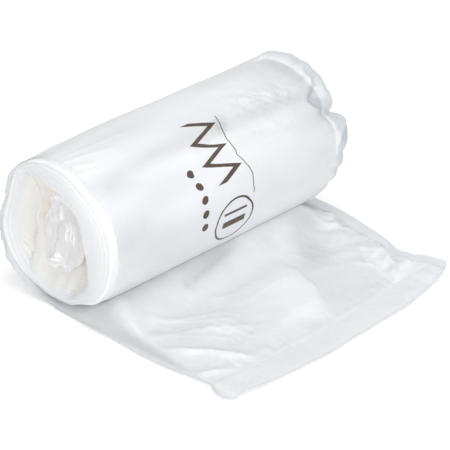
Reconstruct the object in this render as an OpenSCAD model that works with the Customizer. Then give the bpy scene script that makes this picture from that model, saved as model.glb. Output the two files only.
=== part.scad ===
// A coreless roll of thin plastic bin bags, lying on its side with the loose end of the web
// drawn out over the floor. The roll's axis runs along X. The web leaves the roll underneath,
// towards -Y. The bags are one continuous web, so the whole roll is one closed strip: the loose
// end, the outermost ply and the wound turns are computed as one surface with a thickness.

/* [Roll] */
// Diameter of the wound roll
roll_d = 57; // [48:0.5:66]
// Length of the wound turns along the roll's axis
roll_l = 112; // [96:1:130]
// Width of the flat spot that the roll's weight presses underneath
flat_w = 13; // [8:0.5:18]
// Diameter of the open middle, as wound without a core
hollow_d = 13; // [9:0.5:18]

/* [Web] */
// Width of the folded web, as on its loose end
web_w = 120; // [112:1:136]
// Thickness of the loose end and the outermost ply, with the air between their films
film_t = 0.6; // [0.4:0.05:1]
// Thickness of a wound turn, which stands for about a dozen plies
turn_t = 2; // [1.6:0.1:3]
// Gap between one turn and the next
turn_gap = 0.4; // [0.35:0.05:0.7]

/* [Loose end] */
// Length of the loose end from under the roll's axis to its torn edge
tail_l = 82; // [64:1:110]
// Length of the open skirt between the weld and the torn edge
skirt_l = 12; // [8:0.5:18]
// Width of the weld that closes the bag
weld_w = 2; // [1.5:0.1:3]
// Height of the weld's ridge over the film
weld_h = 0.3; // [0.2:0.05:0.5]
// Height of the puffed waves in the loose end
wave_h = 2.6; // [0:0.1:4]

/* [Form] */
// Depth of the dished near end, where the inner turns lie further in
dish_depth = 14; // [4:0.5:24]
// Depth of the shallower dish at the far end
far_dish_depth = 5; // [1:0.5:12]
// Depth of the long valley pressed into the roll's front shoulder
valley_depth = 1.7; // [0:0.1:2.5]
// How far the ends of the roll are tucked in
tuck = 3; // [0:0.1:3.5]
// Depth of the creases in the innermost turn
crumple = 1.4; // [0:0.1:2]

/* [Hidden] */

roll_r = roll_d / 2;
half_l = roll_l / 2;
half_w = web_w / 2;
// Half the flat spot, as an angle round the axis
flat_a = asin(flat_w / 2 / roll_r);
// Height of the axis over the floor
axis_z = roll_r * cos(flat_a);

// Rows of points in one turn, with one on each edge of the flat spot
turn_rows = 24;
turns = 1 + floor((roll_r - film_t - turn_gap - hollow_d / 2) / (turn_t + turn_gap));
last_a = 360 * turns;
// The outermost ply turns into the thick turns over this angle
swell_a = 60;
// Stations across the web, as shares of its width
stations = [0, 0.035, 0.08, 0.2, 0.35, 0.5, 0.65, 0.8, 0.92, 0.965, 1];
// Rows along the loose end, as shares of its length before and after the weld
tail_shares = [0, 0.12, 0.24, 0.34, 0.44, 0.54, 0.64, 0.74, 0.83, 0.92];
weld_y = tail_l - skirt_l;

// A smooth step from 0 at a to 1 at b
function ease(t, a, b) = let (s = min(1, max(0, (t - a) / (b - a)))) s * s * (3 - 2 * s);
// A smooth hump, 1 at c and falling to nothing about 2 w either side
function hump(t, c, w) = exp(-pow((t - c) / w, 2));
// The same round the axis, for angles in degrees
function hump_a(a, c, w) = hump((((a - c) % 360) + 540) % 360 - 180, 0, w);

// Angle round the roll of row i, counted inwards from under the axis
function row_a(i) =
    let (k = i % turn_rows, whole = 360 * floor(i / turn_rows))
    k == 0 ? whole :
    whole + flat_a + (360 - 2 * flat_a) * (k - 1) / (turn_rows - 2);

// Thickness of the strip at angle a
function strip_t(a) = film_t + (turn_t - film_t) * ease(a, 360, 360 + swell_a);
// Radius of the strip's outer face at angle a, each turn just inside the one before
function strip_r(a) = a < 360 ?
    roll_r - (film_t + turn_gap) * max(0, a - flat_a) / (360 - flat_a) :
    strip_r(a - 360) - strip_t(a - 360) - turn_gap;

// The roll's form: the share of its radius that is left at angle a and place x.
// Every turn has the same form, so no turn meets the next.
function valley_a(x) = 221 + 24 * x / roll_l;
function form(a, x) =
    let (b = min(a % 360, 360 - a % 360))
    let (flat = b < flat_a + 0.01 ? cos(flat_a) / cos(b) : 1)
    let (firm = ease(b, flat_a, 50))
    let (valley = valley_depth * hump_a(a, valley_a(x), 17) * (0.45 + 0.55 * ease(x, -half_l, half_l / 2)))
    let (panel = 0.6 * hump_a(a, 182, 22) - 0.35 * hump_a(a, 258, 26))
    let (near = tuck * (0.25 + 0.75 * hump_a(a, 105, 38)) * ease(-x, half_l - 16, half_l + 4))
    let (far = tuck * (0.25 + 0.3 * hump_a(a, 280, 40)) * ease(x, half_l - 16, half_l + 4))
    flat - firm * (valley + panel + near + far) / roll_r;

// The creases of the innermost turn, which only ever go towards the middle
function crease(a, x) =
    crumple * ease(a, last_a - 300, last_a - 120) * (0.5 + 0.25 * sin(6 * a + 4 * x) + 0.25 * sin(9 * a - 7 * x));

// Where the strip's two edges lie. The outermost ply stands out past the turns under it.
function near_edge(a) = a < 360 ?
    -half_l - 1.5 - (half_w - half_l - 1.5) * (1 - ease(a, 90, 170)) :
    let (s = strip_r(a) / roll_r)
    -half_l - 1.2 * hump(s, 0.82, 0.08) + dish_depth * ease(-s, -0.74, -0.34) + 0.5 * sin(a * 0.53);
function far_edge(a) = a < 360 ?
    let (lobes = 3.2 * hump_a(a, 206, 16) - 1.6 * hump_a(a, 234, 8) + 3.2 * hump_a(a, 252, 14))
    half_l + 1 + (half_w - half_l - 1) * (1 - ease(a, 60, 150)) + lobes :
    half_l - 1 - far_dish_depth * ease(-strip_r(a) / roll_r, -0.85, -0.4) + 0.5 * cos(a * 0.61);

// A point of the wound strip at angle a and station v, on its outer or inner face
function wound_point(a, v, inner) =
    let (x = near_edge(a) + v * (far_edge(a) - near_edge(a)))
    let (r = (strip_r(a) - (inner ? strip_t(a) : 0) - crease(a, x)) * form(a, x))
    [x, r * sin(a), axis_z - r * cos(a)];

// The loose end. d is the distance drawn out from under the axis, on the middle of the web.
// The near corner is drawn in to a small tab and the far corner flares out.
function tail_near(d) = half_w - 9 * ease(d / tail_l, 0.58, 0.85) + 3 * ease(d / tail_l, 0.88, 1);
function tail_far(d) = half_w - 4 * ease(d / tail_l, 0.2, 0.75) + 5 * ease(d / tail_l, 0.85, 1);
// How far each row bows back at the web's edges, more so towards the torn edge
function bow(v, d) = ease(d / tail_l, 0.5, 1) * (5.5 * pow(abs(2 * v - 1), 4) + 2.5 * pow(v, 6));
function wave(x, d) =
    let (free = ease(d, roll_r * 0.5, tail_l * 0.55))
    let (ridge = hump(d - 0.42 * x, tail_l * 0.5, 9) + 0.7 * hump(d + 0.5 * x, tail_l * 0.6, 8))
    let (puff = 0.35 + 0.35 * sin(5.2 * x + 60) * cos(2.4 * d) + 0.3 * sin(9 * d + 2 * x))
    let (curl = 0.9 * ease(x, half_w * 0.6, half_w) * ease(d, tail_l * 0.75, tail_l))
    let (pressed = 1 - 0.75 * hump(d, weld_y, 4))
    wave_h * free * (max(0, 0.45 * ridge + 0.6 * puff * pressed) + curl);
function tail_point(d, v, inner) =
    let (x = -tail_near(d) + v * (tail_near(d) + tail_far(d)))
    let (under = wave(x, d))
    let (ridge = abs(d - weld_y) < weld_w / 4 ? weld_h : 0)
    [x, -(d - bow(v, d)), under + (inner ? film_t + ridge : 0)];

tail_rows = concat(
    [for (s = [1, 0.66, 0.33]) weld_y + weld_w / 2 + s * (skirt_l - weld_w / 2)],
    [for (s = [0.5, 0, -0.5]) weld_y + s * weld_w],
    [for (k = [len(tail_shares) - 1:-1:1]) tail_shares[k] * weld_y]);
wound_rows = [for (i = [0:turn_rows * turns]) row_a(i)];

// The whole strip, row by row from the torn edge to the innermost turn
function row_points(inner) = concat(
    [for (d = tail_rows) for (v = stations) tail_point(d, v, inner)],
    [for (a = wound_rows) for (v = stations) wound_point(a, v, inner)]);

module bag_web() {
    rows = len(tail_rows) + len(wound_rows);
    wide = len(stations);
    face = rows * wide;
    points = concat(row_points(false), row_points(true));
    cells = [for (i = [0:rows - 2]) for (j = [0:wide - 2]) i * wide + j];
    outer = [for (c = cells) each [[c, c + wide + 1, c + wide], [c, c + 1, c + wide + 1]]];
    inner = [for (t = outer) [face + t[2], face + t[1], face + t[0]]];
    // A wall of two triangles between neighbours p and q on the outer face
    sides = concat(
        [for (i = [0:rows - 2]) [i * wide, (i + 1) * wide]],
        [for (i = [0:rows - 2]) [(i + 2) * wide - 1, (i + 1) * wide - 1]],
        [for (j = [0:wide - 2]) [j + 1, j]],
        [for (j = [0:wide - 2]) [face - wide + j, face - wide + j + 1]]);
    walls = [for (s = sides) each [[s[1], face + s[0], s[0]], [s[1], face + s[1], face + s[0]]]];
    color([0.93, 0.94, 0.95]) polyhedron(points = points, faces = concat(outer, inner, walls));
}

bag_web();
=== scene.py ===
import math
from functools import partial

import bpy
import numpy as np
from bpy.props import FloatProperty, FloatVectorProperty, IntProperty, PointerProperty
from bpy.types import Operator, Panel, PropertyGroup
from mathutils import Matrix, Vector


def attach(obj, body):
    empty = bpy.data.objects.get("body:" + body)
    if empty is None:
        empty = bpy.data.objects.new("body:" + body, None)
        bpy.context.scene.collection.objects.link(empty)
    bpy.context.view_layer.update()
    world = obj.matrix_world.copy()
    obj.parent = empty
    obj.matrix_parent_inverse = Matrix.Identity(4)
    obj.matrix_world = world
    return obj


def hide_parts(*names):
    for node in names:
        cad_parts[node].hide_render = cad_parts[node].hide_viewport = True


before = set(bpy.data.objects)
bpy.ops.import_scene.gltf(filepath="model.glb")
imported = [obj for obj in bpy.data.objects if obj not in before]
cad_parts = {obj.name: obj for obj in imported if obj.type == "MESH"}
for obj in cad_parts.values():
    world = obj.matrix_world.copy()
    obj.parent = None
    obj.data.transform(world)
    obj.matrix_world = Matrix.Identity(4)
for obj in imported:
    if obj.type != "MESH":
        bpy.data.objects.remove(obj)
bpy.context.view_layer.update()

bl_info = {
    "name": "Bin bag roll",
    "version": (1, 0, 0),
    "blender": (4, 5, 0),
    "location": "3D View > Sidebar > Bag roll",
    "description": "Makes a coreless roll of thin plastic bags with its loose end drawn out",
    "category": "Object",
}

NODE = "bag_web"
# Height of the roll's axis over the floor, in metres
AXIS_HEIGHT = 0.02775
# Refraction of polyethylene
FILM_IOR = 1.51
# The web's uv map, and how far across in millimetres it is shifted so that it starts at 0
UV_NAME, UV_SHIFT = "web", 60.0


# Measures

def srgb(colour):
    """An sRGB hex value as three numbers from 0 to 1."""
    return [int(colour.lstrip("#")[i:i + 2], 16) / 255 for i in (0, 2, 4)]


class FilmSettings(PropertyGroup):
    """Sizes and colours of the plastic web."""

    web_width: FloatProperty(
        name="Web width", description="Width of the folded web", default=0.120, unit="LENGTH")
    roll_diameter: FloatProperty(
        name="Roll diameter", description="Diameter of the wound roll", default=0.057,
        unit="LENGTH")
    roll_length: FloatProperty(
        name="Roll length", description="Length of the wound turns along the axis",
        default=0.112, unit="LENGTH")
    flat_width: FloatProperty(
        name="Flat spot", description="Width of the flat spot pressed underneath",
        default=0.013, unit="LENGTH")
    loose_length: FloatProperty(
        name="Loose end", description="From under the roll's axis to the torn edge",
        default=0.084, unit="LENGTH")
    skirt_length: FloatProperty(
        name="Skirt", description="Open film between the weld and the torn edge",
        default=0.012, unit="LENGTH")
    grid: FloatProperty(
        name="Grid", description="Spacing of the points that carry the film's creases",
        default=0.0006, unit="LENGTH")
    film_colour: FloatVectorProperty(
        name="Film colour", description="Colour of the milky film, as an sRGB value",
        subtype="COLOR_GAMMA", size=3, default=srgb("#f1f2f3"), min=0, max=1)
    print_colour: FloatVectorProperty(
        name="Print colour", description="Colour of the printed shapes, as an sRGB value",
        subtype="COLOR_GAMMA", size=3, default=srgb("#3f352c"), min=0, max=1)
    roughness: FloatProperty(
        name="Film roughness", description="Roughness of the film's face",
        default=0.30, min=0, max=1)


class WindingSettings(PropertyGroup):
    """Sizes and colours of the wound turns and of the film in the open middle."""

    pitch: FloatProperty(
        name="Turn pitch", description="Distance from one drawn turn to the next",
        default=0.00105, unit="LENGTH")
    hollow: FloatProperty(
        name="Open middle", description="Diameter of the coreless middle",
        default=0.013, unit="LENGTH")
    dish: FloatProperty(
        name="Dish depth", description="Depth of the dished near end",
        default=0.0105, unit="LENGTH")
    far_dish: FloatProperty(
        name="Far dish depth", description="Depth of the dish at the far end",
        default=0.005, unit="LENGTH")
    rows_a_turn: IntProperty(
        name="Rows a turn", description="Rows of points in one drawn turn", default=100, min=24)
    edge_colour: FloatVectorProperty(
        name="Edge colour", description="Colour of the stacked film edges, as an sRGB value",
        subtype="COLOR_GAMMA", size=3, default=srgb("#f4f4f4"), min=0, max=1)
    cream_colour: FloatVectorProperty(
        name="Cream colour", description="Colour deep between the film edges, as an sRGB value",
        subtype="COLOR_GAMMA", size=3, default=srgb("#f1eee7"), min=0, max=1)


class StageSettings(PropertyGroup):
    """The camera, the lamps and the floor."""

    azimuth: FloatProperty(
        name="Azimuth", description="Direction that the camera looks from, round the object",
        default=math.radians(-44.10), subtype="ANGLE")
    elevation: FloatProperty(
        name="Elevation", description="Height of the camera over the horizon, as an angle",
        default=math.radians(30.57), subtype="ANGLE")
    distance: FloatProperty(
        name="Distance", description="From the camera to its target", default=0.6757,
        unit="LENGTH")
    target: FloatVectorProperty(
        name="Target", description="The point that the camera looks at",
        size=3, default=(0.02265, 0.0, -0.00041), subtype="TRANSLATION")
    lens: FloatProperty(
        name="Lens", description="Focal length in millimetres on a 36 mm sensor", default=147.16)
    sky: FloatProperty(
        name="Sky", description="Strength of the even light from all sides", default=0.64, min=0)
    key: FloatProperty(
        name="Key lamp", description="Power of the low soft lamp at the front, in watts",
        default=4.1, min=0)
    side: FloatProperty(
        name="Side lamp", description="Power of the soft lamp that faces the near end, in watts",
        default=1.8, min=0)
    top: FloatProperty(
        name="Top lamp", description="Power of the soft lamp over the roll, in watts",
        default=2.75, min=0)
    floor_colour: FloatVectorProperty(
        name="Floor colour", description="Colour of the floor, as an sRGB value",
        subtype="COLOR_GAMMA", size=3, default=srgb("#f5f5f5"), min=0, max=1)


# Small tools

def linear(colour):
    """An sRGB hex value or three sRGB numbers as a linear colour with alpha 1."""
    if isinstance(colour, str):
        colour = srgb(colour)
    turned = (c / 12.92 if c <= 0.04045 else ((c + 0.055) / 1.055) ** 2.4 for c in colour)
    return (*turned, 1.0)


def feed(made, inputs):
    """Gives a node's sockets, by name or in order, a value or a link. A node that is given
    stands for its first output."""
    for name, value in inputs.items() if isinstance(inputs, dict) else enumerate(inputs):
        if isinstance(value, bpy.types.Node):
            value = value.outputs[0]
        if isinstance(value, bpy.types.NodeSocket):
            made.id_data.links.new(value, made.inputs[name])
        else:
            made.inputs[name].default_value = value


def node(tree, kind, inputs=(), stops=(), **settings):
    """Adds a shader node with its settings, its inputs and, on a colour ramp, its stops."""
    made = tree.nodes.new("ShaderNode" + kind)
    for name, value in settings.items():
        setattr(made, name, value)
    feed(made, inputs)
    if stops:
        cells = made.color_ramp.elements
        while len(cells) < len(stops):
            cells.new(0.5)
        for cell, (place, colour) in zip(cells, stops):
            cell.position = place
            cell.color = linear(colour)
    return made


def ease(t, a, b):
    """A smooth step from 0 at a to 1 at b."""
    s = np.clip((t - a) / (b - a), 0, 1)
    return s * s * (3 - 2 * s)


def hump(t, c, w):
    """A smooth hump, 1 at c and near nothing about 2 w either side."""
    return np.exp(-((t - c) / w) ** 2)


def crest(a, c, w):
    """The same round the axis, for angles in degrees."""
    return np.exp(-(((a - c + 180) % 360 - 180) / w) ** 2)


def curve(t, points):
    """Straight lines through points, each a place and a value."""
    return np.interp(t, *zip(*points))


def noise(u, v, seed):
    """Smooth random values from -1 to 1 with one cell to a unit."""
    cells = 64
    table = np.random.default_rng(seed).uniform(-1, 1, (cells, cells))
    iu, iv = np.floor(u).astype(int), np.floor(v).astype(int)
    fu, fv = u - iu, v - iv
    fu, fv = fu ** 3 * (fu * (6 * fu - 15) + 10), fv ** 3 * (fv * (6 * fv - 15) + 10)
    iu, iv, ju, jv = iu % cells, iv % cells, (iu + 1) % cells, (iv + 1) % cells
    low = table[iu, iv] * (1 - fu) + table[ju, iv] * fu
    high = table[iu, jv] * (1 - fu) + table[ju, jv] * fu
    return low * (1 - fv) + high * fv


def facets(u, v, seed, size, layers=5):
    """Creased film: flat facets between sharp folds, from 0 to about 1. size is in millimetres."""
    rng = np.random.default_rng(seed)
    total = np.zeros(np.broadcast(u, v).shape)
    for k in range(layers):
        angle = math.pi * (k + rng.uniform(-0.35, 0.35)) / layers
        wave = size * rng.uniform(0.75, 1.7)
        bend = 0.55 * noise(u / (2.3 * size) + 9 * k, v / (2.3 * size) + seed, seed + k)
        t = (u * math.cos(angle) + v * math.sin(angle)) / wave + bend + rng.uniform(0, 1)
        near = 0.5 + 0.5 * noise(u / (3 * size) + 31, v / (3 * size) + 7 * k, seed + 50 + k)
        total += near * np.abs(2 * (t - np.floor(t)) - 1) ** 1.5
    return total / layers


def fold(u, v, points, width, sharp=1.3):
    """The share, from 0 to 1, of a fold that runs along points and fades at both ends."""
    best = np.zeros(np.broadcast(u, v).shape)
    run = [0.0]
    for (u0, v0), (u1, v1) in zip(points, points[1:]):
        run.append(run[-1] + math.hypot(u1 - u0, v1 - v0))
    for i, ((u0, v0), (u1, v1)) in enumerate(zip(points, points[1:])):
        du, dv = u1 - u0, v1 - v0
        t = np.clip(((u - u0) * du + (v - v0) * dv) / (du * du + dv * dv), 0, 1)
        away = np.hypot(u - u0 - t * du, v - v0 - t * dv)
        along = (run[i] + t * (run[i + 1] - run[i])) / run[-1]
        fade = np.clip(4 * along * (1 - along), 0, 1) ** 0.6
        best = np.maximum(best, fade * np.exp(-(away / width) ** sharp))
    return best


def patch(u, v, corners, soft):
    """1 inside the convex outline of corners, listed clockwise, and 0 outside. The border
    between is soft wide."""
    inside = np.full(np.broadcast(u, v).shape, 1e3)
    for (u0, v0), (u1, v1) in zip(corners, corners[1:] + corners[:1]):
        long = math.hypot(u1 - u0, v1 - v0)
        inside = np.minimum(inside, ((u - u0) * (v1 - v0) - (v - v0) * (u1 - u0)) / long)
    return ease(inside, -0.5 * soft, 0.5 * soft)


def grid_faces(rows, wide, closed=False):
    """Quads of a grid of rows by wide points, whose rows close on themselves if closed is set."""
    last = wide if closed else wide - 1
    i, j = np.meshgrid(np.arange(rows - 1), np.arange(last), indexing="ij")
    k = (j + 1) % wide
    quads = [i * wide + j, i * wide + k, (i + 1) * wide + k, (i + 1) * wide + j]
    return np.stack(quads, -1).reshape(-1, 4)


def add_mesh(name, points, faces, uv=None, **fields):
    """A mesh object from points in millimetres, with its uv and number fields on the points."""
    mesh = bpy.data.meshes.new(name)
    mesh.vertices.add(len(points))
    mesh.vertices.foreach_set("co", (np.asarray(points) / 1000).astype(np.float32).ravel())
    faces = np.asarray(faces)
    mesh.loops.add(faces.size)
    mesh.loops.foreach_set("vertex_index", faces.astype(np.int32).ravel())
    mesh.polygons.add(len(faces))
    starts = np.arange(0, faces.size, faces.shape[1], dtype=np.int32)
    mesh.polygons.foreach_set("loop_start", starts)
    mesh.update(calc_edges=True)
    mesh.validate()
    mesh.polygons.foreach_set("use_smooth", np.ones(len(mesh.polygons), bool))
    if uv is not None:
        corners = np.empty(len(mesh.loops), np.int32)
        mesh.loops.foreach_get("vertex_index", corners)
        layer = mesh.uv_layers.new(name=UV_NAME)
        layer.data.foreach_set("uv", np.asarray(uv, np.float32)[corners].ravel())
    for field, values in fields.items():
        made = mesh.attributes.new(field, "FLOAT", "POINT")
        made.data.foreach_set("value", np.asarray(values, np.float32).ravel())
    mesh.update()
    piece = bpy.data.objects.new(name, mesh)
    bpy.context.scene.collection.objects.link(piece)
    return piece


def settle(piece, material):
    """The finish of a piece: its material, its body, and its CAD node, which is hidden."""
    piece.data.materials.clear()
    piece.data.materials.append(material)
    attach(piece, "root")
    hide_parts(NODE)


# The web's form, in millimetres and degrees

# The angle a runs from 0 under the axis, up the back at 90, over the top at 180 and down the
# front at 270. It grows inwards along the web. d is the distance drawn out from under the axis
# along the middle of the web, and down is how far out a point lies, as the rows bow back.

# Between the roll's full radius and the outermost film
AIR = 0.15

# The valley along the front shoulder: its angle, depth and width at places along the roll
VALLEY_ANGLE = [(-58, 210), (-42, 215), (-18, 221), (0, 218), (12, 220), (29, 226),
                (47, 233), (60, 235)]
VALLEY_DEPTH = [(-60, 0.6), (-44, 1.7), (-24, 1.6), (-8, 1.4), (1, 2.8), (10, 2.2),
                (30, 2.3), (46, 3.0), (60, 4.2)]
VALLEY_WIDTH = [(-60, 16), (-30, 14), (0, 11), (30, 11), (60, 8)]

# The outermost ply's far edge, as angles and places, with two lobes and a notch between them
FAR_EDGE = [(0, 60), (60, 60), (110, 59.6), (141, 59), (180, 59), (197, 59.2), (208, 58.9),
            (222, 58.2), (231, 57.6), (234.5, 56.8), (239, 59), (245, 61.2), (251, 61.6),
            (258, 60.7), (265, 60.5), (269, 59), (275, 59.4), (283, 58.7), (292, 58.2),
            (302, 57.6), (320, 57), (400, 57)]

# At the far end, as places and angles: the fold where the outermost film stands off the
# turns, the line inside the lobes, and the line that runs into the notch, all three also
# painted as grey lines of crease shade
EYE = [(55.6, 193), (55.3, 203), (53.7, 210), (50.0, 215), (47.2, 220), (49.0, 226),
       (52.5, 232)]
LOBES = [(50.5, 222), (53, 229), (53.4, 235), (54.5, 241), (56, 250), (57.5, 262)]
NOTCH = [(45, 217), (50, 222.5), (54, 227), (60, 230)]

# Creases that spread from the near top corner: from an angle to another, reach and height
CORNER = [(168, 165, 34, 0.30), (171, 172, 22, 0.35), (176, 181, 40, 0.28),
          (180, 190, 26, 0.38), (187, 199, 18, 0.30), (194, 207, 30, 0.24)]

# Painted shade along the valley, drawn as fewer films: how grey and at which angle, at places on
# the roll
VALLEY_SHADE = [(-46, 0.05), (-34, 0.12), (-24, 0.36), (8, 0.30), (30, 0.42), (44, 0.30), (52, 0.1)]
VALLEY_SHADE_ANGLE = [(-44, 210), (-25, 208.5), (0, 211), (26, 211.5), (35, 213), (44, 216)]

# Spots of painted shade on the outermost ply, in a dent, in the valley and over the far lobes:
# share, then place and width, then angle and width
SHADE_SPOTS = [(0.22, -38, 10, 212, 11), (0.40, 7.5, 3.6, 209.5, 6.5), (0.38, 50, 4, 190, 20),
        (0.26, 53, 3.5, 243, 9), (0.28, 55, 5, 236, 9)]

# How far the loose end reaches either side of the middle, at distances drawn out
NEAR_SIDE = [(0, 58.6), (10, 58), (42, 56.9), (50.5, 56.1), (58.3, 55), (65.2, 53.6),
             (73, 52.2), (76.3, 51.7), (78, 52.8), (81, 54.2), (84, 54)]
FAR_SIDE = [(0, 60), (10, 60.3), (20, 60.2), (27, 59.8), (31, 59.8), (36, 58.7), (45, 57.5),
            (50, 56.5), (59.3, 54.3), (63, 54.3), (66, 55.2), (70, 55.5), (74, 58), (84, 60)]

# How far its thicker body reaches, inside the flat borders of single film
NEAR_BODY = [(0, 51), (19, 49.7), (44, 50), (55, 51.2), (67, 51.5), (72, 51.5)]
FAR_BODY = [(12.5, 57.4), (21, 56.6), (31, 54.1), (39, 51.4), (50, 52.2), (56, 48.8),
            (63, 50.3), (71, 54.9)]

# The loose end's folds: height, width, and the line as places and distances
FOLDS = [
    (0.7, 2.6, [(-24, 31), (-8, 29), (13, 26.5), (33, 25)]),
    (-1.0, 1.3, [(-22, 27), (-13, 25.3), (-2, 23.7), (5, 22.7)]),
    (1.3, 1.5, [(-51, 44), (-40, 58), (-31, 70)]),
    (1.0, 1.3, [(-52, 63), (-43, 68), (-36, 73)]),
    (-0.7, 3.0, [(38, 20), (30, 34), (22, 47), (14, 61)]),
    (1.0, 1.1, [(42, 24), (45, 29), (51, 36), (54, 43)]),
    (1.2, 1.3, [(43, 47), (47, 55), (42, 65), (36, 71)]),
    (1.1, 1.2, [(36, 71), (45, 66), (53, 64)]),
    (0.9, 1.0, [(35, 50), (38, 58), (37, 66)]),
    (0.6, 1.6, [(56, 20), (44, 38), (30, 52)]),
    (0.5, 1.5, [(-48, 26), (-36, 36), (-18, 44)]),
    (0.5, 1.4, [(-50, 36), (-34, 46), (-14, 60)]),
]

# Its fine single wrinkles, all with one height and width
WRINKLE = (0.24, 0.55)
WRINKLES = [
    [(-48, 24), (-39, 32), (-30, 42), (-19, 49)],
    [(-42.5, 32), (-40.8, 36), (-38.7, 39.5), (-35, 42)],
    [(-47, 32), (-43, 41), (-36, 49), (-29, 58)],
    [(-50, 49), (-41, 57), (-36.6, 65), (-31, 69)],
    [(-50, 19), (-49.5, 26), (-50, 36), (-50.5, 48), (-51.5, 59)],
    [(-34, 61), (-33, 69), (-30, 75), (-26, 80)],
    [(-8, 44), (0, 43.6), (8, 43)],
    [(24, 63), (21.7, 71), (24, 73)],
    [(39, 54), (44, 55), (49, 55)],
    [(47.5, 58.6), (38.6, 62.5)],
    [(47.6, 23), (52, 25), (53.7, 29.5)],
    [(45, 27.7), (46, 31), (53, 30)],
    [(-20, 34), (-8, 38), (6, 36)],
    [(20, 28), (26, 38), (27, 50)],
    [(30, 32), (34, 42), (33, 54)],
]

# Patches of painted highlight on the loose end, drawn as more films: share, width of the border,
# and clockwise corners
PAINTED_HIGHLIGHTS = [
    (0.04, 1.2, [(-50, 45), (-50.9, 62), (-42, 70), (-33, 72), (-40, 58)]),
    (0.22, 1.6, [(43, 48), (37.5, 57), (37, 64), (43, 65), (47.5, 57)]),
    (0.28, 1.4, [(52, 65), (44.5, 66), (36, 70.8), (45, 72.5), (54, 71.5)]),
    (0.20, 1.6, [(44, 28), (52, 30), (53, 25), (49, 20.5)]),
]

# Painted crease shade of the gathers along the loose end's far border, as places and distances
PAINTED_GATHER_SHADE = [(54.0, 22.0), (52.0, 30.0), (51.6, 34.0), (51.8, 42.0), (51.6, 50.0)]

# The bags' folded start, a small almond on the dish's left wall, as places from the axis
FOLDED_START = [(14.7, 4.5), (17.0, 7.5), (18.8, 12.3), (16.2, 14.2), (12.7, 12.7)]


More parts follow.
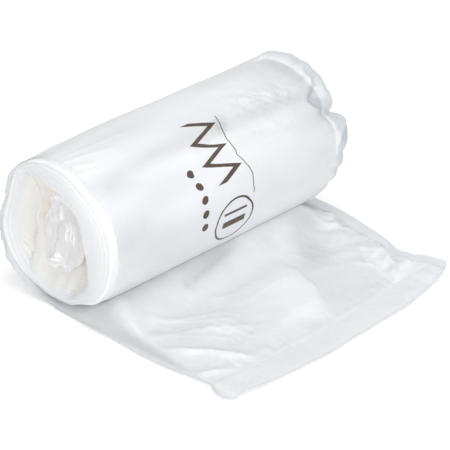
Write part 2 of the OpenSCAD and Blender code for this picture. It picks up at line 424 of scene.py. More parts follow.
class Web:
    """The sizes that every sheet of the roll shares."""

    def __init__(self):
        film, wound = bpy.context.scene.bag_film, bpy.context.scene.bag_winding
        self.r = 500 * film.roll_diameter
        self.half_l = 500 * film.roll_length
        self.half_w = 500 * film.web_width
        self.tail = 1000 * film.loose_length
        self.weld = self.tail - 1000 * film.skirt_length
        self.flat = math.degrees(math.asin(500 * film.flat_width / self.r))
        self.axis = self.r * math.cos(math.radians(self.flat))
        self.pitch = 1000 * wound.pitch
        self.core = 500 * wound.hollow
        self.grid = 1000 * film.grid

    def radius(self, a):
        """Radius at angle a before the form is pressed in, each turn inside the one before."""
        return self.r - AIR - self.pitch * a / 360

    def around(self, line):
        """A line of places and angles, with the angles as millimetres round the roll."""
        return [(x, math.radians(a) * self.r) for x, a in line]

    def form(self, a, x):
        """The share of the radius that is left. Every turn has it, so no turn meets the next."""
        b = np.minimum(a % 360, 360 - a % 360)
        flat = np.where(b < self.flat + 0.01,
                        math.cos(math.radians(self.flat)) / np.cos(np.radians(b)), 1)
        firm = ease(b, self.flat, 50)
        wide = curve(x, VALLEY_WIDTH)
        off = (a - curve(x, VALLEY_ANGLE) + 180) % 360 - 180
        crisp = ease(x, 10, 56)
        side = np.where(off < 0, wide * (1 - 0.25 * crisp), wide)
        valley = curve(x, VALLEY_DEPTH) * np.exp(-(np.abs(off) / side) ** (2 - 0.8 * crisp))
        valley += 1.1 * crest(a, 214, 11) * hump(x, -40, 9)
        panel = 0.6 * crest(a, 182, 22) - 0.5 * crest(a, 256, 24)
        near = 5.0 * crest(a, 109, 30) * ease(-x, self.half_l - 15, self.half_l + 4)
        far = 0.3 + crest(a, 300, 26) - 0.6 * crest(a, 249, 9)
        far -= 1.3 * crest(a, 172, 34)
        far = far * ease(x, self.half_l - 14, self.half_l + 2)
        bulge = 0.8 * crest(a, 146, 36) * ease(x, -50, -20)
        lift = ease(-x, 52, 61) * ease(a, 0, 14) * (1 - ease(b, 14, 44))
        # The near end's lower front corner is drawn in a little
        corner = 2.3 * ease(-x, 43, 58) * ease(a, 0, 14) * crest(a, 333, 18)
        return flat - (firm * (valley + panel + near + far - bulge) + lift + corner) / self.r

    def near_edge(self, a):
        """Where the outermost ply ends, further out at the back and underneath."""
        return -self.half_w + 5.7 * ease(a, 138, 172) + 1.8 * hump(a, 0, 24)

    def rim(self, a):
        """Radius of the near end's rim, where the lip drops into the dish."""
        return 24.8 - 10.0 * crest(a, 262, 57) - 5.0 * crest(a, 182, 30)

    def turn_near(self, r, a, depth):
        """The near end of a wound turn at radius r: a rounded lip, and a dish inside it."""
        rim = self.rim(a)
        front = crest(a, 232, 84)
        lip = np.clip((r - rim) / (self.r - 1.3 - rim), 0, 1)
        shoulder = -self.half_l - 1.8 + 4.3 * front * lip ** 4
        shoulder -= (1 - front) * (1.2 - 3.2 * (1 - lip))
        inward = np.clip((rim - r) / (rim - self.core), 0, 1)
        wall = ease(rim - r, 0, 2.6)
        drop = depth * (0.42 * front * wall + (1 - 0.42 * front) * inward)
        # Packets of plies stand out a little and run up the dish as soft folds
        y, z = r * np.sin(np.radians(a)), r * np.cos(np.radians(a))
        folds = 1.5 * noise(y / 2.9, z / 17, 27) * ease(rim - r, -1.5, 3)
        folds = folds + 0.3 * noise(y / 5, z / 4, 28) + 1.5 * fold(y, z, FOLDED_START, 1.3)
        under = (3.0 * crest(a, 8, 40) + crest(a, 330, 22)) * ease(lip, 0.2, 1)
        return shoulder + drop + under + folds * (1 - 0.8 * lip)

    def turn_far(self, r, depth):
        """The far end of a wound turn at radius r: a soft edge round a shallow dish."""
        return self.half_l - 1.6 - 1.4 * ease(r, 24, 28) - depth * ease(-r / self.r, -0.8, -0.3)

    def place(self, a, x, r):
        """Points at angle a and place x, with radius r from the roll's axis."""
        t = np.radians(a)
        points = np.broadcast_arrays(x, r * np.sin(t), self.axis - r * np.cos(t))
        return np.stack(points, -1)

    def tail_sides(self, d):
        """How far the loose end reaches either side of the middle."""
        return curve(d, NEAR_SIDE), curve(d, FAR_SIDE)

    def bow(self, v, d):
        """How far a row bows back at the web's edges."""
        return ease(d / self.tail, 0.5, 1) * (6.4 * np.abs(2 * v - 1) ** 4.4 + 3.3 * v ** 6)

    def body(self, x, d):
        """Distance into the loose end's body from the border of single film on either side."""
        near, far = curve(d, NEAR_BODY), curve(d, FAR_BODY)
        return np.minimum(x + near, far - x) + 0.5 * noise(x / 3, d / 3, 9)

    def billow(self, x, d):
        """The film stands up against the roll where it comes out from under it."""
        top = 20.0
        up = 9.0 * np.exp(-((d - top) / np.where(d < top, 9.0, 8.6)) ** 2)
        return up * (1 - ease(-x, 46, 60)) * (1 - ease(x, 37, 57))

    def under_roll(self, x, d):
        """Height of the roll's underside over a point of the loose end, or more past the roll."""
        a = 360 - np.degrees(np.arcsin(np.clip(d / (self.r - 1.2), 0, 1)))
        r = self.radius(a) * self.form(a, x) + self.ripples(a, x)
        return np.where(d < r - 1.5, self.axis - np.sqrt(np.maximum(0, r * r - d * d)), 99)

    def lay(self, x, d, z):
        """Heights z of the loose end, kept over the floor and under the roll."""
        low, cling = 0.12, 0.12
        z = np.where(z < 0.5, low + 0.38 * np.exp((z - 0.5) / 0.38), z)
        return np.minimum(z, np.maximum(low, self.under_roll(x, d) + cling))

    def pillow(self, x, d):
        """The long pillow in the middle, which ends in a steep side towards the far edge."""
        t = 16.7 - 0.013 * np.maximum(0, d - 39) ** 2 - x + 0.8 * noise(d / 6, x / 20, 31)
        inside, outside = np.maximum(t, 0), np.minimum(t, 0)
        side = np.where(t > 0, 1 - 0.5 * np.exp(-inside / 2.5), 0.5 * np.exp(outside / 1.3))
        return side * np.exp(-(inside / 27) ** 2) * ease(d, 31, 46) * (1 - ease(d, 60, 71))

    def height(self, x, d, down):
        """Height of the loose end over the floor."""
        body = ease(self.body(x, down), -0.5, 1.2)
        big = 2.7 * self.pillow(x, down) + 1.2 * hump(x, -34, 12) * hump(down, 52, 15)
        big += 1.3 * hump(x, 45, 8) * hump(down, 58, 13)
        lines = FOLDS + [(*WRINKLE, line) for line in WRINKLES]
        folds = sum(height * fold(x, down, line, width) for height, width, line in lines)
        sides = 0.15 + 0.60 * hump(x, 50, 14) + 0.28 * hump(x, -50, 12)
        crumple = 4.2 * facets(x, down, 11, 12, 6) * sides
        sides = 0.06 + 0.75 * hump(x, 50, 10) + 0.3 * hump(x, -50, 8)
        crumple += 2.4 * facets(x, down, 23, 5.0, 5) * sides
        spot = hump(x, -28.5, 7) * hump(down, 51, 8)
        crumple += 2.4 * facets(x, down, 29, 3.6, 5) * spot
        puckers = 0.4 * hump(d, self.weld - 2.5, 3.2) * np.abs(noise(x / 3.1, d / 14, 3))
        pressed = 1 - 0.8 * hump(d, self.weld, 2.6)
        skirt = ease(d, self.weld + 1, self.tail) * (0.3 + 0.7 * noise(x / 15, d / 30, 5) ** 2)
        curl = ease(np.abs(x - 3), 50, 60) * ease(d, 0.72 * self.tail, self.tail)
        waves = ease(d, 11, 26) * body * (pressed * (big + folds + crumple) + puckers)
        waves = waves + 0.9 * skirt * body + 0.6 * curl + self.billow(x, down)
        return 0.15 + 0.35 * ease(d, 6, 22) + waves

    def films_and_painted_light(self, x, d, down):
        """How many films lie over each other on the loose end, from 0 to 1: more look whiter. It
        also carries painted highlights, painted shade and painted light that lifts the roll's
        shadow.
        """
        body = self.body(x, down)
        broken = facets(x, down, 33, 9, 5) - 0.25
        fine = facets(x, down, 34, 3.5, 5) - 0.25
        count = 0.52 + 0.20 * ease(body, -4.5, 0.5)
        count += ease(body, -0.3, 0.5) * (0.06 + 0.16 * broken + 0.11 * fine)
        # Painted shade on the film next to the roll
        count -= 0.05 * (1 - ease(down, 22, 44)) * ease(body, -2, 4)
        # Painted light lifts the roll's shadow by the near end
        count += 0.36 * hump(x, -54, 5) * (1 - ease(down, 11, 22))
        # Painted shade near the roll's near end
        count -= 0.06 * hump(x, -46, 7) * hump(down, 22, 4)
        count -= 0.30 * ease(down, 20, 32) * (1 - ease(down, 62, 72)) * (1 - ease(x, -53, -49))
        # Painted shade in the long shallow fold in front of the roll
        crease = fold(x, down, [(-24, 27), (-13, 25.3), (0, 23.4), (7, 22.4)], 2.0, 1.6)
        count -= 0.28 * crease
        # Painted light lifts the roll's shadow near the roll on the right half
        count += 0.20 * (1 - ease(down, 21, 29)) * ease(x, -2, 10) * (1 - ease(x, 42, 50))
        # Painted highlights: bright patches drawn as more films
        lit = 0.85 + 0.6 * broken + 0.6 * fine
        for share, soft, corners in PAINTED_HIGHLIGHTS:
            count += share * lit * patch(x, down, corners, soft)
        # Painted shade in the fold at the right, and a painted highlight on the pillow
        crease = fold(x, down, [(41, 22), (34, 31), (25, 47)], 5.0, 2.0)
        count = count + 0.26 * self.pillow(x, down) - 0.36 * crease
        # Painted highlight on a crumpled spot
        count += 0.16 * hump(x, -28.5, 6) * hump(down, 51, 7)
        # Painted crease shade along the gathers
        for x0, d0 in PAINTED_GATHER_SHADE:
            line = [(x0 - 2.2, d0 - 1.0), (x0 + 1.6, d0 + 1.2)]
            count -= 0.40 * fold(x, down, line, 1.2)
        return np.clip(count - 0.05 * ease(d, self.weld, self.weld + 1.5), 0, 1)

    def ripples(self, a, x):
        """Fine creases of the outermost ply, outwards in millimetres."""
        s = np.radians(a) * self.r
        zone = hump(x, 31, 20) * crest(a, 208, 26)
        out = (2.8 * facets(x, s, 41, 6.5, 6) + 1.2 * facets(x, s, 43, 3.2, 5) - 0.8) * zone
        wide = 0.3 + 0.7 * noise(x / 22, s / 19, 8) ** 2
        long = 1.6 * facets(0.5 * x, s, 47, 11, 5) + 0.5 * facets(0.7 * x, s, 49, 4.5, 5) - 0.4
        out = out + long * wide + 0.12 * noise(x / 40, s / 6, 48)
        # The back has longer, softer creases along the roll
        back = crest(a, 92, 48) * ease(x, -50, -38)
        soft = 2.6 * facets(0.35 * x, 0.8 * s, 53, 9, 5) - 0.6 + 0.25 * noise(x / 30, s / 5, 54)
        out += soft * back
        for top, end, reach, height in CORNER:
            line = [(-58, top), (-50, 0.6 * top + 0.4 * end), (-58 + reach, end)]
            out += height * fold(x, s, self.around(line), 0.8)
        # Gathers run in from the far edge, ridges and grooves by turns
        for k in range(19):
            top = 148 + 8.6 * k + 2.5 * math.sin(5.1 * k)
            reach = 8 + 7 * ((k * 7) % 5) / 4
            line = [(61, top), (60 - reach, top + 3 * math.sin(2.3 * k))]
            height = 0.55 if k % 2 else -0.6
            out += height * fold(x, s, self.around(line), 1.0 + 0.3 * (k % 3))
        eye = self.around(EYE)
        out = out - 1.2 * fold(x, s, eye, 0.9) + 0.9 * fold(x + 1.9, s, eye, 1.3)
        out += 0.35 * fold(x, s, self.around([(2, 224), (24, 233), (50, 243)]), 2.4)
        return out + 0.3 * fold(x, s, self.around([(4, 205), (-4, 217)]), 1.8)


# Materials

# A pattern's Scale counts its cells to a metre, so 210 makes creases about 5 mm apart.

def crinkle(add, place, scale, strength, distance):
    """The film's finest creases as a bump: short ridges where a thin film has been gathered."""
    warp = add("TexNoise", {"Vector": place, "Scale": 90.0 * scale, "Detail": 2.0})
    bent = add("Mix", {0: 0.012, 4: place, 5: warp.outputs["Color"]}, data_type="VECTOR")
    cells = add("TexVoronoi", {"Vector": bent.outputs[1], "Scale": 210.0 * scale},
                feature="DISTANCE_TO_EDGE")
    fine = add("TexNoise", {"Vector": place, "Scale": 520.0 * scale, "Detail": 3.0,
                            "Roughness": 0.6})
    edge = add("Math", [cells, 0.14, 0.16], operation="SMOOTH_MIN")
    mixed = add("Math", [fine, 0.5, edge], operation="MULTIPLY_ADD")
    return add("Bump", {"Strength": strength, "Distance": distance, "Height": mixed})


def new_material(name):
    """An empty material, what adds a node to it, and its shader, joined to the output."""
    material = bpy.data.materials.new(name)
    material.use_nodes = True
    material.node_tree.nodes.clear()
    add = partial(node, material.node_tree)
    shader = add("BsdfPrincipled")
    add("OutputMaterial", [shader])
    return material, add, shader


def printed_shapes(add, total):
    """Plain printed shapes on the outermost ply: a zigzag, dots, a ring round two bars and a
    line. total is the web's length, by which its uv map is divided."""
    across, along = add("SeparateXYZ", [add("UVMap", uv_map=UV_NAME)]).outputs[:2]
    # Each step's name, operation and values, which are numbers or the names of earlier steps.
    # x runs along the roll from its middle and s along the web from the torn edge, in mm.
    # COMPARE gives 1 where the first value lies no further from the second than the third.
    steps = [
        ("x", "MULTIPLY_ADD", across, total, -UV_SHIFT), ("s", "MULTIPLY", along, total),
        ("wave", "SUBTRACT", "s", 182.0), ("wave", "PINGPONG", "wave", 4.4),
        ("zig", "MULTIPLY_ADD", "wave", 2.7, -9.5), ("wide", "COMPARE", "x", "zig", 2.1),
        ("long", "COMPARE", "s", 195.2, 12.8), ("zigzag", "MULTIPLY", "wide", "long"),
        ("ds", "WRAP", "s", 5.2, 0.0), ("ds", "SUBTRACT", "ds", 2.6), ("dx", "ADD", "x", 17.5),
        ("off", "MULTIPLY", "ds", "ds"), ("off", "MULTIPLY_ADD", "dx", "dx", "off"),
        ("spot", "LESS_THAN", "off", 1.5 ** 2), ("long", "COMPARE", "s", 210.6, 13.0),
        ("dots", "MULTIPLY", "spot", "long"),
        ("dx", "ADD", "x", 2.5), ("ds", "SUBTRACT", "s", 224.0), ("off", "MULTIPLY", "dx", "dx"),
        ("off", "MULTIPLY_ADD", "ds", "ds", "off"), ("off", "SQRT", "off"),
        ("ring", "COMPARE", "off", 9.0, 0.38),
        ("thin", "COMPARE", "s", 220.1, 0.5), ("thick", "COMPARE", "s", 224.8, 1.4),
        ("bars", "MAXIMUM", "thin", "thick"), ("wide", "COMPARE", "x", -2.5, 5.5),
        ("bars", "MULTIPLY", "bars", "wide"),
        ("long", "COMPARE", "s", 200.0, 16.0), ("wide", "COMPARE", "x", 5.8, 0.2),
        ("line", "MULTIPLY", "long", "wide"),
        ("all", "MAXIMUM", "zigzag", "dots"), ("all", "MAXIMUM", "all", "ring"),
        ("all", "MAXIMUM", "all", "bars"), ("all", "MAXIMUM", "all", "line"),
    ]
    made = {}
    for name, operation, *values in steps:
        inputs = [made[value] if isinstance(value, str) else value for value in values]
        made[name] = add("Math", inputs, operation=operation)
    return made["all"]


def outer_film(film, total):
    """Low-density polyethylene film, blown and slightly milky: soft broad gloss, grey where one
    ply lies over the pale floor, whiter where many plies scatter the light, with brown print.
    Its plies and cut fields also carry painted light, painted shade and painted highlights."""
    material, add, shader = new_material("polyethylene_film_milky_printed")
    place = add("TexCoord").outputs["Object"]
    shapes = printed_shapes(add, total)
    cloud = add("TexNoise", {"Vector": place, "Scale": 28.0, "Detail": 4.0, "Roughness": 0.55})
    # The plies field whitens the film and also carries painted light, shade and highlights
    plies = add("Attribute", attribute_name="plies").outputs["Fac"]
    part = add("Math", [cloud, 0.25], operation="MULTIPLY")
    many = add("Math", [plies, 0.8, part], operation="MULTIPLY_ADD")
    white = add("ValToRGB", [many], [(0.15, "#c9cccf"), (0.50, "#dfe2e4"), (0.80, "#eeeff1"),
                                     (0.95, film.film_colour)])
    # The cut edges of several plies lie in line and show as a thin grey border. The same grey
    # also paints shade over the far end, along its folds and over the back of the near edge
    cut = add("Attribute", attribute_name="cut").outputs["Fac"]
    border = add("Math", [cut, 0.75], operation="MULTIPLY")
    base = add("Mix", {0: border, 6: white, 7: linear("#a9b1b7")}, data_type="RGBA")
    ink = add("TexNoise", {"Vector": place, "Scale": 900.0, "Detail": 2.0})
    brown = add("ValToRGB", [ink], [(0.3, film.print_colour), (0.8, "#5a4d42")])
    colour = add("Mix", {0: shapes, 6: base.outputs[2], 7: brown}, data_type="RGBA")
    # Plies under the film make it opaque; a single ply lets the floor show
    seen = add("MapRange", {"Value": plies, "To Min": 0.45, "To Max": 0.93})
    for solid in (shapes, border):
        seen = add("Math", [seen, solid], operation="MAXIMUM")
    rough = add("MapRange", {"Value": cloud, "To Min": film.roughness - 0.02,
                             "To Max": film.roughness + 0.16})
    feed(shader, {"Base Color": colour.outputs[2], "Alpha": seen, "Roughness": rough,
                  "IOR": FILM_IOR, "Normal": crinkle(add, place, 1.0, 0.30, 0.0006)})
    return material


def stacked_film():
    """The folded plies inside the loose end: the same film in several layers, so more opaque."""
    material, add, shader = new_material("polyethylene_film_stacked")
    place = add("TexCoord").outputs["Object"]
    cloud = add("TexNoise", {"Vector": place, "Scale": 45.0, "Detail": 4.0, "Roughness": 0.6})
    base = add("ValToRGB", [cloud], [(0.30, "#e2e5e8"), (0.66, "#f3f5f7")])
    rough = add("MapRange", {"Value": cloud, "To Min": 0.29, "To Max": 0.42})
    feed(shader, {"Base Color": base, "Roughness": rough, "Alpha": 0.85, "IOR": FILM_IOR,
                  "Normal": crinkle(add, place, 0.8, 0.35, 0.0007)})
    return material


def wound_film(wound):
    """The wound turns: hundreds of film edges pressed together, bright white on the lip, creamy
    where light passes between them, with fine lines round the axis."""
    material, add, shader = new_material("polyethylene_film_wound_edges")
    place = add("TexCoord").outputs["Object"]
    deep = add("Attribute", attribute_name="deep").outputs["Fac"]
    patches = add("TexNoise", {"Vector": place, "Scale": 85.0, "Detail": 3.0, "Roughness": 0.6})
    depth = add("Math", [patches, 0.7, -0.35], operation="MULTIPLY_ADD")
    shade = add("Math", [deep, depth], operation="ADD", use_clamp=True)
    base = add("ValToRGB", [shade], [(0.10, wound.edge_colour), (0.45, "#f5f4ee"),
                                     (0.78, wound.cream_colour), (1.0, "#ece3d3")])
    # Ply edges are 0.02 mm apart on the real roll and are drawn about 0.3 mm apart to show
    turned = add("Mapping", {"Vector": place, "Location": (0, 0, -AXIS_HEIGHT)},
                 vector_type="POINT")
    flat = add("Mapping", {"Vector": turned, "Scale": (0.0, 1, 1)})
    rings = add("TexWave", {"Vector": flat, "Scale": 520.0, "Distortion": 2.2, "Detail": 2.0,
                            "Detail Scale": 0.6}, wave_type="RINGS", rings_direction="X")
    grain = add("TexNoise", {"Vector": place, "Scale": 700.0, "Detail": 2.0})
    both = add("Math", [grain, 0.4, rings.outputs["Fac"]], operation="MULTIPLY_ADD")
    bump = add("Bump", {"Strength": 0.1, "Distance": 0.0002, "Height": both})
    feed(shader, {"Base Color": base, "Normal": bump, "Roughness": 0.42, "IOR": FILM_IOR,
                  "Subsurface Weight": 0.35, "Subsurface Radius": (1.0, 0.92, 0.8),
                  "Subsurface Scale": 0.003})
    return material


def clear_film():
    """Crumpled single film in the open middle: clearer and glossier, with sharp glints from its
    gloss and painted highlights along its ridges.
    """
    material, add, shader = new_material("polyethylene_film_clear_crumpled")
    place = add("TexCoord").outputs["Object"]
    cloud = add("TexNoise", {"Vector": place, "Scale": 130.0, "Detail": 3.0})
    plain = add("ValToRGB", [cloud], [(0.3, "#f4f4f8"), (0.7, "#fdfdfe")])
    # Painted highlights: the ridges are painted white and more opaque as glints; the flats between
    # them stay clear
    glint = add("Attribute", attribute_name="glint").outputs["Fac"]
    base = add("Mix", {0: glint, 6: plain, 7: linear("#ffffff")}, data_type="RGBA")
    seen = add("MapRange", {"Value": glint, "To Min": 0.68, "To Max": 1.0})
    feed(shader, {"Base Color": base.outputs[2], "Alpha": seen, "Roughness": 0.16,
                  "IOR": FILM_IOR, "Normal": crinkle(add, place, 1.6, 0.45, 0.0006),
                  "Coat Weight": 0.5, "Coat Roughness": 0.08})
    return material


# Operators

def loose_end(web, d, v):
    """Points, films with their painted light and shade, and cut edges of the loose end, from the
    torn edge to under the roll.
    """
    near, far = web.tail_sides(d)
    x = -near + v * (near + far)
    torn = 0.45 * noise(x / 7, d * 0 + 3, 17) + 0.12 * noise(x / 1.6, d * 0 + 5, 18)
    torn += 2.0 * hump(x, -51.5, 3.6)
    down = d - web.bow(v, d)
    y = -(down + torn * ease(d, web.tail - 6, web.tail))
    weld = 0.12 * hump(d, web.weld + 0.7 * noise(x / 9, d * 0, 4), 0.7)
    z = web.lay(x, down, web.height(x, d, down) + weld)
    side = np.minimum(v, 1 - v) * (near + far)
    cut = np.maximum(0.65 * hump(side, 0, 0.8), 0.38 * hump(web.tail - d, 0, 0.7))
    return np.stack(np.broadcast_arrays(x, y, z), -1), web.films_and_painted_light(x, d, down), cut


def ply(web, a, v):
    """Points, films and cut edges of the outermost ply, round the roll. Both the films and the
    cut edges also carry painted shade.
    """
    start, end = web.near_edge(a), curve(a, FAR_EDGE)
    start = start + 0.45 * noise(a / 9, a * 0, 6) + 0.25 * noise(a / 2.6, a * 0, 7)
    # The far edge is gathered round the end of the turns, as a rounded shoulder
    bend = 3.4 + 1.2 * crest(a, 213, 15)
    away = ease(np.minimum(a % 360, 360 - a % 360), web.flat, 60)
    gather = 0.10 + 0.90 * away * ease(a, 236, 262) * (1 - ease(a, 318, 350))
    end += 0.55 * gather * bend
    x = start + v * (end - start)
    over = np.maximum(0, x - (end - 1.9 * bend)) / bend
    r = web.radius(a) * web.form(a, x)
    r = r + away * (a < 372) * web.ripples(a % 360, x) - gather * bend * (1 - np.cos(over))
    x += gather * bend * (np.sin(over) - over)
    # Its near edge clings to the lip over the top and the front
    r -= 0.75 * np.exp(-(x - start) / 2.2) * ease(a, 158, 178) * (a < 365)
    s = np.radians(a) * web.r
    streaks = (0.10 + 0.06 * crest(a, 92, 48)) * noise(x / 26, s / 9, 35)
    eye = crest(a, 214, 12) * ease(x, 52.5, 54.5) * (1 - ease(x, 57.5, 59))
    plies = 0.94 + streaks - 0.6 * eye - 0.12 * ease(-x, web.half_l, web.half_l + 2)
    # Painted shade along the valley
    plies -= curve(x, VALLEY_SHADE) * crest(a, curve(x, VALLEY_SHADE_ANGLE), 7.5)
    # Painted shade: darker towards the far end
    plies -= ease(x, 24, 60) * (0.24 + 0.10 * (1 - ease(a, 214, 244)))
    # Painted shade on the front of the near half
    plies -= 0.34 * ease(-x, 0, 42) * crest(a, 260, 27)
    plies -= 0.25 * (1 - ease(x - start, 0.3, 3.2)) * ease(a, 165, 185)
    plies -= 0.25 * ease(-x, 54, 57) * ease(a, 50, 75) * (1 - ease(a, 140, 165))
    # Painted shade on the front of the far half and on the far front lobe
    plies -= 0.14 * ease(x, -5, 20) * crest(a, 256, 24)
    plies -= 0.14 * ease(x, 50, 57) * crest(a, 258, 26)
    # Painted shade in spots: a dent, the valley and the far lobes
    for share, x0, wide, a0, turn in SHADE_SPOTS:
        plies -= share * hump(x, x0, wide) * crest(a, a0, turn)
    # The near edge's grey border is widened as painted shade over the back and underneath
    back = (0.35 + 0.65 * ease(a, 25, 70)) * (1 - ease(a, 140, 182))
    cut = hump((1 - v) * (end - start), 0, 1.1) + hump(v * (end - start), 0, 3.2) * back
    # Painted shade: the far end's lobes are greyed, most over the top
    outer = 0.72 + 0.28 * crest(a, 184, 18) + 0.12 * crest(a, 246, 10)
    cut += ease(x, 51.5, 56.5) * (outer - 0.25 * crest(a, 264, 10))
    # Painted crease shade as grey lines along the eye, the lobes and the notch
    for share, line, wide in ((1.3, EYE, 0.8), (1.0, LOBES, 2.0), (0.8, NOTCH, 1.6)):
        cut += share * fold(x, s, web.around(line), wide)
    return web.place(a, x, r), np.clip(plies, 0, 1), np.clip(cut, 0, 1)


class BAG_OT_outer_web(Operator):
    """Makes the outermost film: the loose end on the floor and one turn round the roll"""
    bl_idname = "bag.outer_web"
    bl_label = "Outer web"

    # Degrees round the roll at which the outermost film ends
    END = 392.0

    def execute(self, context):
        film, web = context.scene.bag_film, Web()
        v = np.linspace(0, 1, int(round(2 * web.half_w / web.grid)) + 1)[None, :]
        d = np.linspace(web.tail, 0, int(round(web.tail / web.grid)) + 1)[:-1, None]
        round_roll = math.radians(self.END) * web.r
        a = np.linspace(0, self.END, int(round(round_roll / web.grid)) + 1)[:, None]
        parts = loose_end(web, d, v), ply(web, a, v)
        points, plies, cut = (np.concatenate(pair) for pair in zip(*parts))
        total = web.tail + round_roll
        run = np.concatenate([web.tail - d[:, 0], web.tail + np.radians(a[:, 0]) * web.r])
        u = np.broadcast_to(((v - 0.5) * 2 * web.half_w + UV_SHIFT) / total, plies.shape)
        uv = np.stack([u, np.broadcast_to((run / total)[:, None], u.shape)], -1)
        piece = add_mesh("outer_web", points.reshape(-1, 3), grid_faces(*plies.shape),
                         uv.reshape(-1, 2), cut=cut, plies=plies)
        settle(piece, outer_film(film, total))
        return {"FINISHED"}


class BAG_OT_inner_plies(Operator):
    """Makes the folded plies inside the loose end, a little narrower than the web"""
    bl_idname = "bag.inner_plies"
    bl_label = "Inner plies"

    def execute(self, context):
        web = Web()
        first, last = 6.0, web.weld - 0.5
        step = 1.15 * web.grid
        v = np.linspace(0, 1, int(round(2 * web.half_w / step)) + 1)[None, :]
        d = np.linspace(last, first, int(round((last - first) / step)) + 1)[:, None]
        near, far = web.tail_sides(d)
        inset = 3.0 + 0.8 * noise(d / 4.5, d * 0, 12)
        inset_far = 4.4 + 1.3 * noise(d / 3.6, d * 0 + 2, 13)
        x = -(near - inset) + v * (near + far - inset - inset_far)
        down = d - web.bow(v, d)
        over = web.lay(x, down, web.height(x, d, down))
        edge = hump(v, 0, 0.05) + hump(v, 1, 0.06)
        own = 0.35 * facets(x, d, 61, 8, 5) + 0.5 * edge * np.abs(noise(d / 2.2, x / 9, 14))
        z = np.maximum(0.06, over * 0.62 - 0.1 - 0.25 * own * ease(over, 0.4, 1.6))
        points = np.stack(np.broadcast_arrays(x, -down, z), -1)
        piece = add_mesh("inner_plies", points.reshape(-1, 3), grid_faces(*z.shape))
        settle(piece, stacked_film())
        return {"FINISHED"}


def crisp(mesh, wide):
    """Marks the corners of the strip's cut ends as sharp, so that the ends shade as flat."""
    ends = np.empty(2 * len(mesh.edges), np.int32)
    mesh.edges.foreach_get("vertices", ends)
    place = ends.reshape(-1, 2) % wide
    corner = np.isin(place[:, 0], [0, wide // 2 - 1, wide // 2, wide - 1])
    sharp = mesh.attributes.new("sharp_edge", "BOOLEAN", "EDGE")
    sharp.data.foreach_set("value", corner & (place[:, 0] == place[:, 1]))


def depths(web, x, r, a):
    """How creamy each point is: more so inside the near rim and towards the middle."""
    below = ease(x, -web.half_l - 1.5, -web.half_l + 6.5)
    inside = np.broadcast_to(ease(web.rim(a) - r, -1.5, 4), x.shape)
    return 0.78 * (0.4 + 0.6 * below) * inside + 0.12 * ease(-r, -24, -10)


class BAG_OT_wound_turns(Operator):
    """Makes the wound turns as one closed strip, with the dished near end and its rounded lip"""
    bl_idname = "bag.wound_turns"
    bl_label = "Wound turns"

    # Angle at which the first wound turn starts, under the end of the outermost film
    START = 385.0
    # Stations inwards from both ends of the roll in millimetres, and as shares between them
    NOSE = [0, 0.10, 0.5, 2.0, 5.0, 10, 17]
    MIDDLE = [0.12, 0.28, 0.42, 0.56, 0.70, 0.84]

    def execute(self, context):
        wound, web = context.scene.bag_winding, Web()
        thick = 0.99 * web.pitch
        last = 360.0 * (web.r - AIR - web.core - thick) / web.pitch
        rows = int((last - self.START) / 360 * wound.rows_a_turn)
        a = np.linspace(self.START, last, rows)[:, None]
        r = web.radius(a)
        swell = ease(a, self.START, self.START + 30) * (1 - ease(a, last - 40, last))
        half = 0.5 * thick * (0.35 + 0.65 * swell)
        nose, middle = np.array([self.NOSE]), np.array([self.MIDDLE])
        reach = self.NOSE[-1]
        sides = []
        for side in (1, -1):
            inner = r - (side < 0) * thick
            step = 0.045 * noise(a / 360 * 2.7, a * 0, 21) + 0.03 * noise(a / 14, a * 0, 22)
            near = web.turn_near(inner, a, 1000 * wound.dish) + step
            far = web.turn_far(inner, 1000 * wound.far_dish)
            far += 0.3 * noise(a / 360 * 2.3, a * 0, 23)
            between = near + reach + (far - near - 2 * reach) * middle
            x = np.concatenate([near + nose, between, far - nose[:, ::-1]], 1)
            spread = 0.8 * web.pitch + 0.03 * noise(a / 11, a * 0, 26) * np.exp(-(x - near) / 3)
            # Past the lip the turns are wound a little tighter, clear of the outer film's creases
            tight = 1 - 0.05 * ease(x, -53, -42)
            radius = (r - 0.5 * thick + spread + side * half) * web.form(a, x) * tight
            sides.append(web.place(a, x, radius))
        ring = np.concatenate([sides[0], sides[1][:, ::-1]], 1)
        rows, wide = ring.shape[:2]
        # Both ends of the strip are closed by a cap of quads between its two faces
        caps = []
        for base, turn in ((0, 1), ((rows - 1) * wide, -1)):
            for i in range(wide // 2 - 1):
                quad = [base + i, base + i + 1, base + wide - 2 - i, base + wide - 1 - i]
                caps.append(quad[::turn])
        faces = np.concatenate([grid_faces(rows, wide, closed=True)[:, ::-1], np.array(caps)])
        piece = add_mesh("wound_turns", ring.reshape(-1, 3), faces,
                         deep=depths(web, ring[..., 0], r, a))
        crisp(piece.data, wide)
        settle(piece, wound_film(wound))
        return {"FINISHED"}


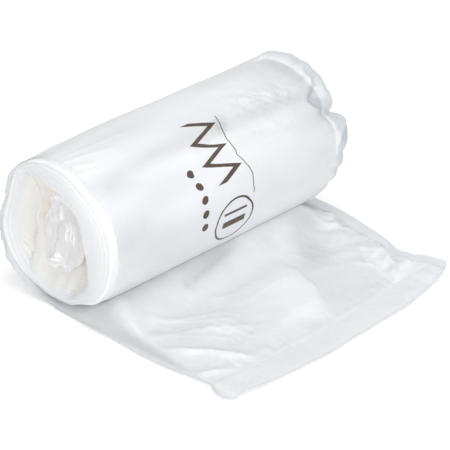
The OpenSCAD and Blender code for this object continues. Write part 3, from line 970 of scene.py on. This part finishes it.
class BAG_OT_middle_film(Operator):
    """Makes the crumpled innermost film that fills the open middle behind the lip"""
    bl_idname = "bag.middle_film"
    bl_label = "Middle film"

    # Points along each side of its grid
    GRID = 110
    # Sharp ridges, raised and painted white as glints, as places across the middle
    RIDGES = [
        [(2.1, 1.3), (1.2, -0.8), (1.7, -3.9), (2.6, -6.3)],
        [(-0.9, 1.6), (-2.8, 0), (-2.2, -4.2), (-1, -7.7)],
        [(0.6, 2.0), (-0.6, -1.5), (0.2, -6.0)],
        [(12.0, -17.0), (8.8, -14.5), (3.3, -13.1), (0.1, -13.6)],
        [(9.8, -17.6), (5.5, -15.3), (1.5, -14.5)],
        [(8.0, -13.4), (4.0, -11.6), (1.0, -11.9)],
        [(4.5, 7.6), (3.5, 4.1), (4.3, 0.8)],
    ]

    def execute(self, context):
        web = Web()
        side = np.linspace(-1, 1, self.GRID)
        p, q = np.meshgrid(side, side, indexing="ij")
        # A square grid drawn round, so that the film has no pole in its middle
        py, pz = p * np.sqrt(1 - q * q / 2), q * np.sqrt(1 - p * p / 2)
        rad = np.hypot(py, pz)
        y, z = 5.3 + 12.7 * py, -1.4 + 16.4 * pz
        heap = 3.2 * facets(1.5 * y, 0.6 * z, 71, 9, 5) + 1.6 * facets(1.3 * y, 0.7 * z, 73, 4.2, 4)
        x = -web.half_l + 6.8 - heap * (1 - 0.3 * ease(rad, 0.6, 1)) + rad ** 2
        x -= 3.0 * ease(-z, 5, 16)
        # The glint mask raises each ridge and paints it white as a highlight
        glint = np.zeros(x.shape)
        for line in self.RIDGES:
            glint = np.maximum(glint, fold(y, z, line, 0.55))
        # A row of short gathers hangs under the lip's upper edge, raised and painted white as
        # highlights
        for k in range(8):
            top = 12.6 - 0.16 * (k - 3.5) ** 2
            line = [(9.0 - 1.1 * k, top), (8.8 - 1.15 * k, top - 4.2)]
            glint = np.maximum(glint, 0.8 * fold(y, z, line, 0.4))
        x -= 0.7 * glint
        y += 0.9 * noise(z / 3, y / 5, 75)
        z += 0.9 * noise(y / 3, z / 4, 76)
        points = np.stack([x, y, web.axis + z], -1).reshape(-1, 3)
        faces = grid_faces(self.GRID, self.GRID)[:, ::-1]
        piece = add_mesh("middle_film", points, faces, glint=glint)
        settle(piece, clear_film())
        return {"FINISHED"}


def room(scene, sky):
    """The even light: white where it is seen or mirrored, and of strength sky elsewhere."""
    world = bpy.data.worlds.new("soft_white_room")
    scene.world = world
    world.use_nodes = True
    world.node_tree.nodes.clear()
    add = partial(node, world.node_tree)
    rays = add("LightPath").outputs
    seen = rays["Is Camera Ray"]
    for ray in ("Is Glossy Ray", "Is Transmission Ray"):
        seen = add("Math", [seen, rays[ray]], operation="MAXIMUM")
    level = add("MapRange", {"Value": seen, "To Min": sky, "To Max": 1.0})
    light = add("Background", [linear("#fdfdff"), level])
    add("OutputWorld", [light])


class BAG_OT_stage(Operator):
    """Makes the floor, the soft lamps, the even light and the camera"""
    bl_idname = "bag.stage"
    bl_label = "Stage"

    # In metres: the point that the lamps face, and the floor's width
    LIT = (0, -0.02, 0.02)
    FLOOR = 6.0

    def execute(self, context):
        stage = context.scene.bag_stage
        for obj in context.selected_objects:
            obj.select_set(False)
        bpy.ops.mesh.primitive_plane_add(size=self.FLOOR, location=(0, 0, 0))
        floor = context.object
        floor.name = "floor"
        material, add, shader = new_material("painted_board_white")
        # The camera sees the floor a little brighter than the object does
        path = add("LightPath").outputs["Is Camera Ray"]
        lit = add("Math", [path, 0.20], operation="MULTIPLY")
        feed(shader, {"Base Color": linear(stage.floor_colour), "Roughness": 0.9,
                      "Specular IOR Level": 0.1, "Emission Color": (1, 1, 1, 1),
                      "Emission Strength": lit})
        floor.data.materials.append(material)
        self.lamp("front_softbox", (-0.29, -0.89, 0.17), 0.70, stage.key)
        self.lamp("side_softbox", (-0.86, -0.14, 0.38), 0.60, stage.side)
        self.lamp("top_softbox", (0.06, -0.12, 1.02), 0.50, stage.top)
        room(context.scene, stage.sky)
        camera = bpy.data.objects.new("camera", bpy.data.cameras.new("camera"))
        context.scene.collection.objects.link(camera)
        camera.data.lens = stage.lens
        camera.data.sensor_width = 36.0
        camera.data.clip_start = 0.01
        a, e = stage.azimuth, stage.elevation
        back = Vector((math.sin(a) * math.cos(e), -math.cos(a) * math.cos(e), math.sin(e)))
        camera.location = Vector(stage.target) + stage.distance * back
        camera.rotation_euler = back.to_track_quat("Z", "Y").to_euler()
        context.scene.camera = camera
        context.scene.view_settings.view_transform = "Standard"
        return {"FINISHED"}

    def lamp(self, name, place, size, power):
        """A square area lamp that faces the object."""
        light = bpy.data.lights.new(name, "AREA")
        light.size = size
        light.energy = power
        lamp = bpy.data.objects.new(name, light)
        bpy.context.scene.collection.objects.link(lamp)
        lamp.location = place
        away = Vector(place) - Vector(self.LIT)
        lamp.rotation_euler = away.to_track_quat("Z", "Y").to_euler()


class BAG_PT_panel(Panel):
    """Lists the sizes and the pieces of the bag roll"""
    bl_idname = "BAG_PT_panel"
    bl_label = "Bag roll"
    bl_space_type = "VIEW_3D"
    bl_region_type = "UI"
    bl_category = "Bag roll"

    def draw(self, context):
        for group in (context.scene.bag_film, context.scene.bag_winding, context.scene.bag_stage):
            box = self.layout.box()
            for name in group.__annotations__:
                box.prop(group, name)
        for operator in OPERATORS:
            self.layout.operator(operator.bl_idname)


OPERATORS = (BAG_OT_stage, BAG_OT_outer_web, BAG_OT_inner_plies, BAG_OT_wound_turns,
             BAG_OT_middle_film)
CLASSES = (FilmSettings, WindingSettings, StageSettings, *OPERATORS, BAG_PT_panel)


def register():
    for cls in CLASSES:
        bpy.utils.register_class(cls)
    bpy.types.Scene.bag_film = PointerProperty(type=FilmSettings)
    bpy.types.Scene.bag_winding = PointerProperty(type=WindingSettings)
    bpy.types.Scene.bag_stage = PointerProperty(type=StageSettings)


def unregister():
    del bpy.types.Scene.bag_stage
    del bpy.types.Scene.bag_winding
    del bpy.types.Scene.bag_film
    for cls in reversed(CLASSES):
        bpy.utils.unregister_class(cls)


def main():
    """Makes the stage and every piece."""
    register()
    bpy.ops.bag.stage()
    bpy.ops.bag.outer_web()
    bpy.ops.bag.inner_plies()
    bpy.ops.bag.wound_turns()
    bpy.ops.bag.middle_film()


if __name__ == "__main__":
    main()
